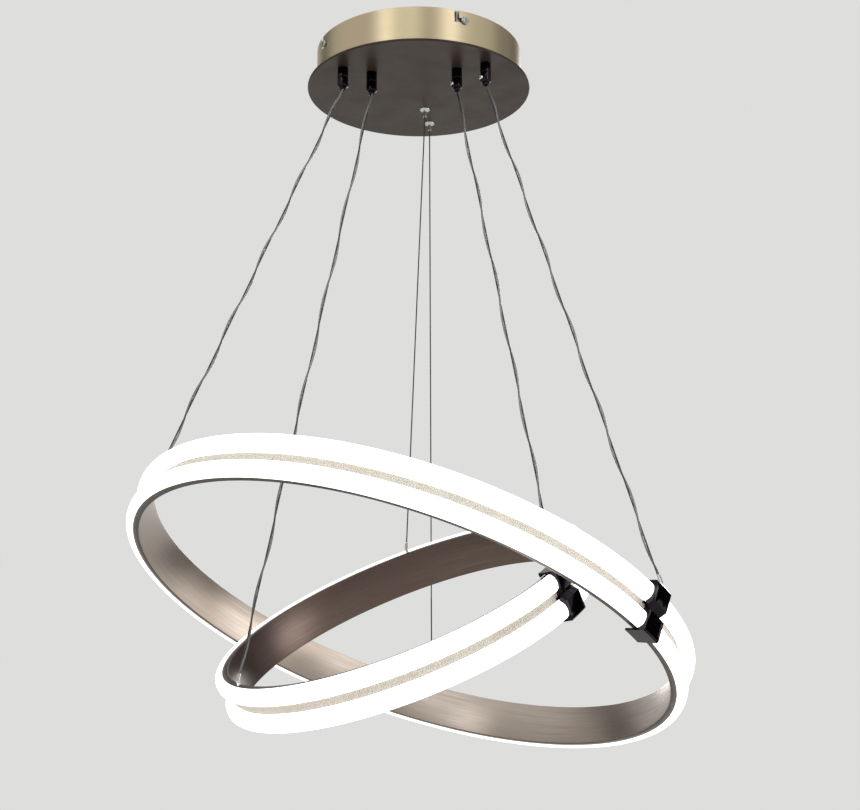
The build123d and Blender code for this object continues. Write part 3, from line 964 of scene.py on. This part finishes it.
@dataclass
class Outlets:
    """The two plain rope outlets: a dome with a nipple below and a stud above.

    The dome's points are shares of its radius and its height, the last under its crown.
    """

    at: tuple[tuple[float, float], ...] = ((6.680, 47.533), (11.969, 85.163))
    plate_under: float = PLATE_UNDER
    stud_top: float = STUD_TOP
    stud_radius: float = STUD_RADIUS
    radius: float = 6.0
    height: float = 5.0
    rim: float = 0.48
    dome: tuple[tuple[float, float], ...] = ((0.90, 0.22), (0.72, 0.38), (0.45, 0.50))
    crown: float = 0.52
    nipple_radius: float = 2.0
    nipple_length: float = 4.0
    bore: float = 1.15

    def build(self, finishes: Finishes) -> None:
        """Make and dress both outlets as one piece.

        Args:
            finishes: Materials by the record's slot.
        """
        low = self.plate_under - self.height * self.crown
        tip = self.plate_under - self.height - self.nipple_length
        corners = [
            (self.nipple_radius, low), (self.nipple_radius, tip), (self.bore, tip),
            (self.bore, self.stud_top), (self.stud_radius, self.stud_top),
            (self.stud_radius, self.plate_under), (self.radius, self.plate_under),
            (self.radius, self.plate_under - self.rim),
        ]
        for out, down in self.dome:
            corners.append((self.radius * out, self.plate_under - self.height * down))
        both = Blank()
        for x, y in self.at:
            one = Blank().outline(corners, rounding=0.25).spin(steps=48)
            one.move(Matrix.Translation((x, y, 0.0)))
            mesh = bpy.data.meshes.new("outlet")
            one.bm.to_mesh(mesh)
            one.bm.free()
            both.bm.from_mesh(mesh)
            bpy.data.meshes.remove(mesh)
        piece = both.settle("domed_outlets")
        place_piece(piece, "canopy", "bright_chrome", finishes["bright_chrome"], "rope_outlets")


# ---- rings -----------------------------------------------------------------------------


@dataclass
class LightRing:
    """One light ring: channel, two lenses, ribbed strip, light boards and clamp."""

    name: str
    outer_radius: float
    place: Matrix
    clamp_azimuth: float
    channel_slot: str
    steps: int
    band_depth: float = 15.3
    channel_depth: float = 6.5
    channel_height: float = 43.1
    channel_wall: float = 1.5
    channel_corner: float = 0.45
    lens_width: float = 19.0
    lens_spacing: float = 28.0
    lens_corner: float = 8.5
    fit: float = 0.15
    groove_width: float = 8.6
    rib_pitch: float = 2.0
    rib_depth: float = 0.55
    seam_gap: float = 0.5
    glow: float = 2.2
    foot_cut_in: float = 2.8
    foot_cut_up: float = 1.6
    strip_show: float = 6.3

    @property
    def inner(self) -> float:
        """Radius of the channel's inner face."""
        return self.outer_radius - self.band_depth

    @property
    def seam(self) -> float:
        """The seam's width as an angle, in degrees."""
        return math.degrees(self.seam_gap / self.outer_radius)

    def rolled(self, blank: Blank, name: str, steps: int) -> Object:
        """Turn a section round the ring, from one side of the seam to the other.

        Args:
            blank: The flat section.
            name: The piece's name.
            steps: Steps round the ring.

        Returns:
            The new object.
        """
        start = self.clamp_azimuth + self.seam / 2
        return blank.spin(steps, start, 360.0 - self.seam).move(self.place).settle(name)

    def channel(self) -> Object:
        """The rolled channel, open to the outside, its corners rounded.

        Returns:
            The new object.
        """
        half = self.channel_height / 2
        wall = self.channel_wall
        outer = self.inner + self.channel_depth
        corners = [
            (self.inner, half), (outer, half), (outer, half - wall),
            (self.inner + wall, half - wall), (self.inner + wall, wall - half),
            (outer, wall - half), (outer, -half), (self.inner, -half),
        ]
        blank = Blank().outline(corners, self.channel_corner)
        return self.rolled(blank, f"{self.name}_rolled_channel", self.steps)

    def lens(self, side: LensSide) -> Object:
        """One lens on the channel's front: flat crown, round shoulders, outer foot cut back.

        Args:
            side: Which of the two lenses.

        Returns:
            The new object.
        """
        foot = self.inner + self.channel_depth + self.fit
        middle = side.value * self.lens_spacing / 2
        half = self.lens_width / 2
        corners = [
            (foot, middle - half), (self.outer_radius, middle - half),
            (self.outer_radius, middle + half), (foot, middle + half),
        ]
        blank = Blank().outline(corners, self.lens_corner, rounded=(1, 2), segments=9)
        rim = side.value * (self.lens_spacing / 2 + half)
        inward = Vector((self.foot_cut_up, 0.0, -side.value * self.foot_cut_in)).normalized()
        cut = bmesh.ops.bisect_plane(
            blank.bm,
            geom=blank.bm.verts[:] + blank.bm.edges[:] + blank.bm.faces[:],
            plane_co=(foot, 0.0, rim - side.value * self.foot_cut_up),
            plane_no=inward,
            clear_inner=True,
        )
        name = f"{self.name}_{side.name.lower()}_opal_lens"
        LOG.info("%s: foot cut back, %d pieces", name, len(cut["geom_cut"]))
        return self.rolled(blank, name, self.steps)

    def ribbed_strip(self) -> Object:
        """The strip in the groove, its front cut across in fine ribs.

        Returns:
            The new object.
        """
        half = self.groove_width / 2
        inner = self.inner + self.channel_wall + self.fit
        outer = self.inner + self.strip_show
        ribs = round(2 * math.pi * outer / self.rib_pitch)
        corners = [(inner, half), (outer, half), (outer, -half), (inner, -half)]
        start = self.clamp_azimuth + self.seam / 2
        blank = Blank().outline(corners).spin(2 * ribs, start, 360.0 - self.seam)
        step = math.radians(360.0 - self.seam) / (2 * ribs)
        middle = (inner + outer) / 2
        low = []
        for vertex in blank.bm.verts:
            turn = (math.atan2(vertex.co.y, vertex.co.x) - math.radians(start)) / step
            if math.hypot(vertex.co.x, vertex.co.y) > middle and round(turn) % 2:
                low.append(vertex)
        share = 1 - self.rib_depth / outer
        bmesh.ops.scale(blank.bm, vec=(share, share, 1.0), verts=low)
        return blank.move(self.place).settle(f"{self.name}_ribbed_strip")

    def build(self, finishes: Finishes) -> None:
        """Make and dress the ring's pieces.

        Args:
            finishes: Materials by the record's slot.
        """
        # Opal silicone, lit from behind: white all over, a little duller at its foot, partly its
        # own glow and partly painted shade along the channel.
        lens_finish = OpalSilicone(
            f"lit_opal_silicone_{self.name}", "#F2F1EE", 0.38, ior=1.41, strength=self.glow,
            foot_radius=self.inner + self.channel_depth, crown_radius=self.outer_radius,
            place=self.place,
        ).material()
        body, slot = self.name, self.channel_slot
        place_piece(self.channel(), body, slot, finishes[slot], f"{body}_channel")
        for side in LensSide:
            node = f"{body}_lens_{side.name.lower()}"
            place_piece(self.lens(side), body, "opal_lens", lens_finish, node)
        strip = finishes["cream_strip"]
        place_piece(self.ribbed_strip(), body, "cream_strip", strip, f"{body}_groove_strip")
        refinished(f"{body}_light_boards", finishes["light_board"])
        clamp = EasedCopy(f"{body}_clamp", f"{body}_plated_clamp", body, "black_chrome", 0.35)
        clamp.build(finishes)


# ---- ropes and feed cords --------------------------------------------------------------


@dataclass
class HangingRope:
    """One taut steel rope, and the clear feed cord that winds round it where there is one."""

    name: str
    ring: str
    top: tuple[float, float, float]
    knee: tuple[float, float, float]
    fitting: Fitting
    seat: float = 3.4
    ferrule: float = 9.0
    rope_diameter: float = 1.5
    feed_diameter: float = 2.0
    feed_offset: float = 2.2
    wound_offset: float = 1.8
    turn_length: float = 100.0
    strands: int = 6
    strand_lay: float = 9.0
    travel: float = 120.0
    stiff_run: float = 6.0
    rope_step: float = 0.8
    cord_step: float = 2.0
    settle_rate: float = 12.0

    @property
    def direction(self) -> Vector:
        """Direction of the rope, upwards."""
        return (Vector(self.top) - Vector(self.knee)).normalized()

    @property
    def side(self) -> Vector:
        """Level direction from the rope to its feed cord's two ends."""
        return self.direction.cross(Vector((0, 0, 1))).normalized()

    def route(self, shift: Vector) -> list[Vector]:
        """The route's points from the canopy down, in metres.

        Args:
            shift: Offset of the line, in millimetres.

        Returns:
            Its points: the top, one near each end, and the seat in the hanger.
        """
        top = Vector(self.top) + shift
        seat = Vector(self.knee) + self.direction * self.seat + shift
        near = self.stiff_run * self.rope_diameter
        points = [top, top - self.direction * near, seat + self.direction * near, seat]
        return [point * MM for point in points]

    def hang(self, piece: Object) -> None:
        """Give a piece its own copy of its mesh.

        Args:
            piece: The piece.
        """
        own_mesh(piece)

    def rope(self, finishes: Finishes) -> None:
        """Make the steel rope: strands twisted along its route.

        Args:
            finishes: Materials by the record's slot.
        """
        walked = evenly(route_points(self.route(Vector())), self.rope_step * MM)
        name, radius = f"steel_rope_{self.name}", self.rope_diameter / 2 * MM
        piece = tube_along(name, walked, radius, self.strands, self.strand_lay * MM)
        place_piece(piece, "canopy", "steel_rope", finishes["steel_rope"], f"rope_{self.name}")
        self.hang(piece)

    def feed_cord(self, finishes: Finishes) -> None:
        """Make the clear feed cord: a long helix round the rope, straight at both ends.

        Args:
            finishes: Materials by the record's slot.
        """
        core = evenly(route_points(self.route(Vector())), self.cord_step * MM)
        total = sum((b - a).length for a, b in zip(core, core[1:]))
        turns = max(1, round(total / (self.turn_length * MM)))
        free = total - 2 * self.ferrule * MM
        down = -self.direction
        walked, travelled = [], 0.0
        for k, point in enumerate(core):
            travelled += (point - core[k - 1]).length if k else 0.0
            share = min(1.0, max(0.0, (travelled - self.ferrule * MM) / free))
            settled = min(1.0, share * self.settle_rate, (1 - share) * self.settle_rate)
            offset = self.feed_offset + (self.wound_offset - self.feed_offset) * settled
            arm = Matrix.Rotation(2 * math.pi * turns * share, 3, down) @ self.side
            walked.append(point + arm * offset * MM)
        piece = tube_along(f"clear_feed_cord_{self.name}", walked, self.feed_diameter / 2 * MM)
        place_piece(piece, "canopy", "clear_cord", finishes["clear_cord"], f"feed_cord_{self.name}")
        self.hang(piece)

    def build(self, finishes: Finishes) -> None:
        """Make the rope, and its feed cord if it hangs from a gripper.

        Args:
            finishes: Materials by the record's slot.
        """
        self.rope(finishes)
        if self.fitting is Fitting.GRIPPER:
            self.feed_cord(finishes)


@dataclass
class RopeHangers:
    """A ring's three hangers: a thin stem, and a crimped sleeve for each line that it holds."""

    ring: str
    place: Matrix
    ropes: tuple[HangingRope, ...]
    rise: float = 4.5
    stem_radius: float = 1.5
    sleeve_radius: float = 1.65
    sleeve_length: float = 7.5
    sleeve_under: float = 0.8

    def rod(self, blank: Blank, low: Vector, high: Vector, radius: float) -> None:
        """Add a round rod between two points.

        Args:
            blank: The blank that it goes into.
            low: One end, in millimetres.
            high: The other end, in millimetres.
            radius: Its radius, in millimetres.
        """
        along = high - low
        turn = along.to_track_quat("Z", "Y").to_matrix().to_4x4()
        bmesh.ops.create_cone(
            blank.bm, cap_ends=True, segments=24, radius1=radius, radius2=radius,
            depth=along.length, matrix=Matrix.Translation((low + high) / 2) @ turn,
        )

    def build(self, finishes: Finishes) -> None:
        """Make and dress the ring's hangers as one piece.

        Args:
            finishes: Materials by the record's slot.
        """
        normal = (self.place.to_3x3() @ Vector((0, 0, 1))).normalized()
        blank = Blank()
        for rope in self.ropes:
            knee, upward = Vector(rope.knee), rope.direction
            self.rod(blank, knee - normal * self.rise, knee + normal, self.stem_radius)
            lines = [Vector()]
            if rope.fitting is Fitting.GRIPPER:
                lines.append(rope.side * rope.feed_offset)
            for line in lines:
                low = knee + line - upward * self.sleeve_under
                self.rod(blank, low, knee + line + upward * self.sleeve_length, self.sleeve_radius)
        piece = blank.settle(f"{self.ring}_crimped_hangers")
        ease_edges(piece, width_mm=0.3)
        slot = "bright_chrome"
        place_piece(piece, self.ring, slot, finishes[slot], f"{self.ring}_hangers")


# ---- studio ----------------------------------------------------------------------------


@dataclass
class SoftBox:
    """One area light."""

    name: str
    at: tuple[float, float, float]
    aim: tuple[float, float, float]
    width: float
    height: float
    watts: float

    def build(self) -> None:
        """Place the light, turned to its aim."""
        data = bpy.data.lights.new(self.name, "AREA")
        data.shape = "RECTANGLE"
        data.size, data.size_y = self.width, self.height
        data.energy = self.watts
        lamp = scene_object(self.name, data)
        lamp.location = self.at
        towards = Vector(self.aim) - Vector(self.at)
        lamp.rotation_euler = towards.to_track_quat("-Z", "Y").to_euler()


@dataclass
class DarkCard:
    """A dark card that only reflections show, to give the plated metal its darker bands."""

    name: str
    azimuth: float
    width: float
    distance: float = 3.0
    low: float = -0.9
    high: float = 2.6
    half_metre_mm: float = 500.0

    def build(self) -> None:
        """Stand the card up, facing the chandelier."""
        blank = Blank()
        upright = Matrix.Rotation(math.radians(90), 4, "X")
        bmesh.ops.create_grid(
            blank.bm, x_segments=1, y_segments=1, size=self.half_metre_mm, matrix=upright
        )
        grown = Matrix.Diagonal((self.width, 1.0, self.high - self.low, 1.0))
        middle = Matrix.Translation((0, -self.distance / MM, (self.low + self.high) / 2 / MM))
        turn = Matrix.Rotation(math.radians(self.azimuth), 4, "Z")
        card = blank.move(turn @ middle @ grown).settle(self.name)
        card.data.materials.append(CARD_FELT.material())
        card.visible_camera = False


@dataclass
class Studio:
    """Camera at the photograph's place, a pale room and floor, and soft light."""

    camera_at: tuple[float, float, float] = (0.0125, -1.8266, -0.9086)
    pitch: float = 105.42
    lens: float = 75.349
    sensor: float = 36.0
    wall: str = "#DEDEDC"
    floor_height: float = -1.35
    floor_radius: float = 6.0
    floor_steps: int = 96
    middle: tuple[float, float, float] = (0.0, 0.0, -0.35)

    def build(self) -> None:
        """Make the camera, the room, the floor and the lights."""
        data = bpy.data.cameras.new("photo_camera")
        data.sensor_width = self.sensor
        data.lens = self.lens
        camera = scene_object("photo_camera", data)
        camera.location = self.camera_at
        camera.rotation_euler = (math.radians(self.pitch), 0.0, 0.0)
        bpy.context.scene.camera = camera
        bpy.context.scene.view_settings.view_transform = "Standard"
        world = bpy.data.worlds.new("pale_room")
        world.use_nodes = True
        background = world.node_tree.nodes["Background"]
        background.inputs["Color"].default_value = linear(self.wall)
        background.inputs["Strength"].default_value = 1.0
        bpy.context.scene.world = world
        blank = Blank()
        radius = self.floor_radius / MM
        bmesh.ops.create_circle(blank.bm, cap_ends=True, segments=self.floor_steps, radius=radius)
        blank.move(Matrix.Translation((0, 0, self.floor_height / MM)))
        floor = blank.settle("studio_floor")
        floor.data.materials.append(FLOOR_LACQUER.material())
        boxes = (
            SoftBox("left_softbox", (-1.76, -2.43, 1.2), self.middle, 0.35, 1.6, 10.0),
            SoftBox("low_right_softbox", (2.77, -0.39, -0.5), (0.0, 0.0, -0.6), 1.6, 0.9, 12.0),
            SoftBox("front_softbox", (0.3, -3.2, 2.0), self.middle, 2.4, 1.0, 14.0),
            SoftBox("right_softbox", (1.76, -2.43, 1.2), self.middle, 0.35, 1.6, 10.0),
            SoftBox("back_softbox", (0.4, 2.6, 0.6), self.middle, 1.8, 1.2, 30.0),
        )
        cards = (
            DarkCard("left_rear_card", -128.0, 1.3), DarkCard("left_card", -54.0, 0.4),
            DarkCard("middle_card", 12.0, 0.9), DarkCard("right_card", 104.0, 0.9),
            DarkCard("right_rear_card", 132.0, 1.2),
        )
        for thing in (*boxes, *cards):
            thing.build()


# ---- the whole chandelier --------------------------------------------------------------


def chandelier_finishes(big: Matrix, small: Matrix) -> Finishes:
    """Make the materials, by the record's slots.

    Args:
        big: Place of the large ring.
        small: Place of the small ring.

    Returns:
        Each slot's material.
    """
    # Rolled aluminium, brushed round the ring and plated: light taupe nickel on the large
    # ring, dark coffee bronze on the small one. The lines are drawn coarser than the real
    # ones, which are too fine to show.
    # On both rings the rim colours are painted shade, and the rim edge colours are a painted shadow
    # line at the rims' inner edge.
    nickel = BrushedMetal(
        "brushed_taupe_nickel", "#BDB2A9", 0.34, 1.0,
        groove="#A4998F", tone="#A5978D", pitch_mm=0.8, stroke_mm=60.0, spread=0.06, relief=0.12,
        rim="#5E524B", rim_edge_painted_shadow="#060404", rim_height_mm=21.2, rim_radius_mm=280.2, place=big,
    )
    coffee = BrushedMetal(
        "brushed_coffee_bronze", "#786963", 0.36, 1.0,
        groove="#665851", tone="#6A5953", pitch_mm=0.8, stroke_mm=60.0, spread=0.06, relief=0.12,
        rim="#5E524B", rim_edge_painted_shadow="#120D0B", rim_height_mm=21.2, rim_radius_mm=184.2, place=small,
    )
    finishes = {
        "zinc_steel": ZINC, "white_moulding": CASE_MOULDING, "brushed_brass": DRUM_BRASS,
        "bronze_paint": PLATE_PAINT, "bright_chrome": POLISHED_CHROME,
        "black_chrome": BLACK_CHROME, "steel_rope": ROPE_STEEL, "clear_cord": FEED_SHEATH,
        "big_channel": nickel, "small_channel": coffee, "cream_strip": STRIP_SILICONE,
        "light_board": BOARD_LACQUER,
    }
    return {slot: finish.material() for slot, finish in finishes.items()}


def main() -> None:
    """Build the studio and every piece of the chandelier, in order."""
    logging.basicConfig(level=logging.INFO, format="%(message)s")
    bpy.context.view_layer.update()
    Studio().build()
    big = ring_place((-12.2, -8.6, -618.3), 17.7, 12.4)
    small = ring_place((-12.4, -10.3, -633.7), -21.1, -23.0)
    finishes = chandelier_finishes(big, small)
    grip, outlet = Fitting.GRIPPER, Fitting.OUTLET
    ropes = (
        HangingRope("a", "big_ring", (-81.1, -56.8, -70.5), (-253.7, -90.8, -492.1), grip),
        HangingRope("d", "big_ring", (71.8, -68.1, -70.5), (225.3, -178.8, -624.1), grip),
        HangingRope("f", "big_ring", (12.0, 85.2, -54.0), (14.4, 271.1, -663.7), outlet),
        HangingRope("b", "small_ring", (-50.5, -45.5, -70.5), (-173.3, -80.9, -703.9), grip),
        HangingRope("c", "small_ring", (41.4, -53.9, -70.5), (129.8, -142.1, -598.3), grip),
        HangingRope("e", "small_ring", (6.7, 47.5, -54.0), (-13.9, 148.3, -530.5), outlet),
    )
    for rope in ropes:
        rope.build(finishes)
    for ring, place in (("big_ring", big), ("small_ring", small)):
        held = tuple(rope for rope in ropes if rope.ring == ring)
        RopeHangers(ring, place, held).build(finishes)
    Canopy().build(finishes)
    for gripper in (
        Gripper("a", (-81.096, -56.784), 60.0),
        Gripper("b", (-50.534, -45.501), 60.0),
        Gripper("c", (41.396, -53.948), -140.0),
        Gripper("d", (71.812, -68.147), -140.0),
    ):
        gripper.build(finishes)
    Outlets().build(finishes)
    LightRing("big_ring", 295.5, big, -38.5, "big_channel", 320).build(finishes)
    LightRing("small_ring", 199.5, small, -42.0, "small_channel", 256).build(finishes)


if __name__ == "__main__":
    main()
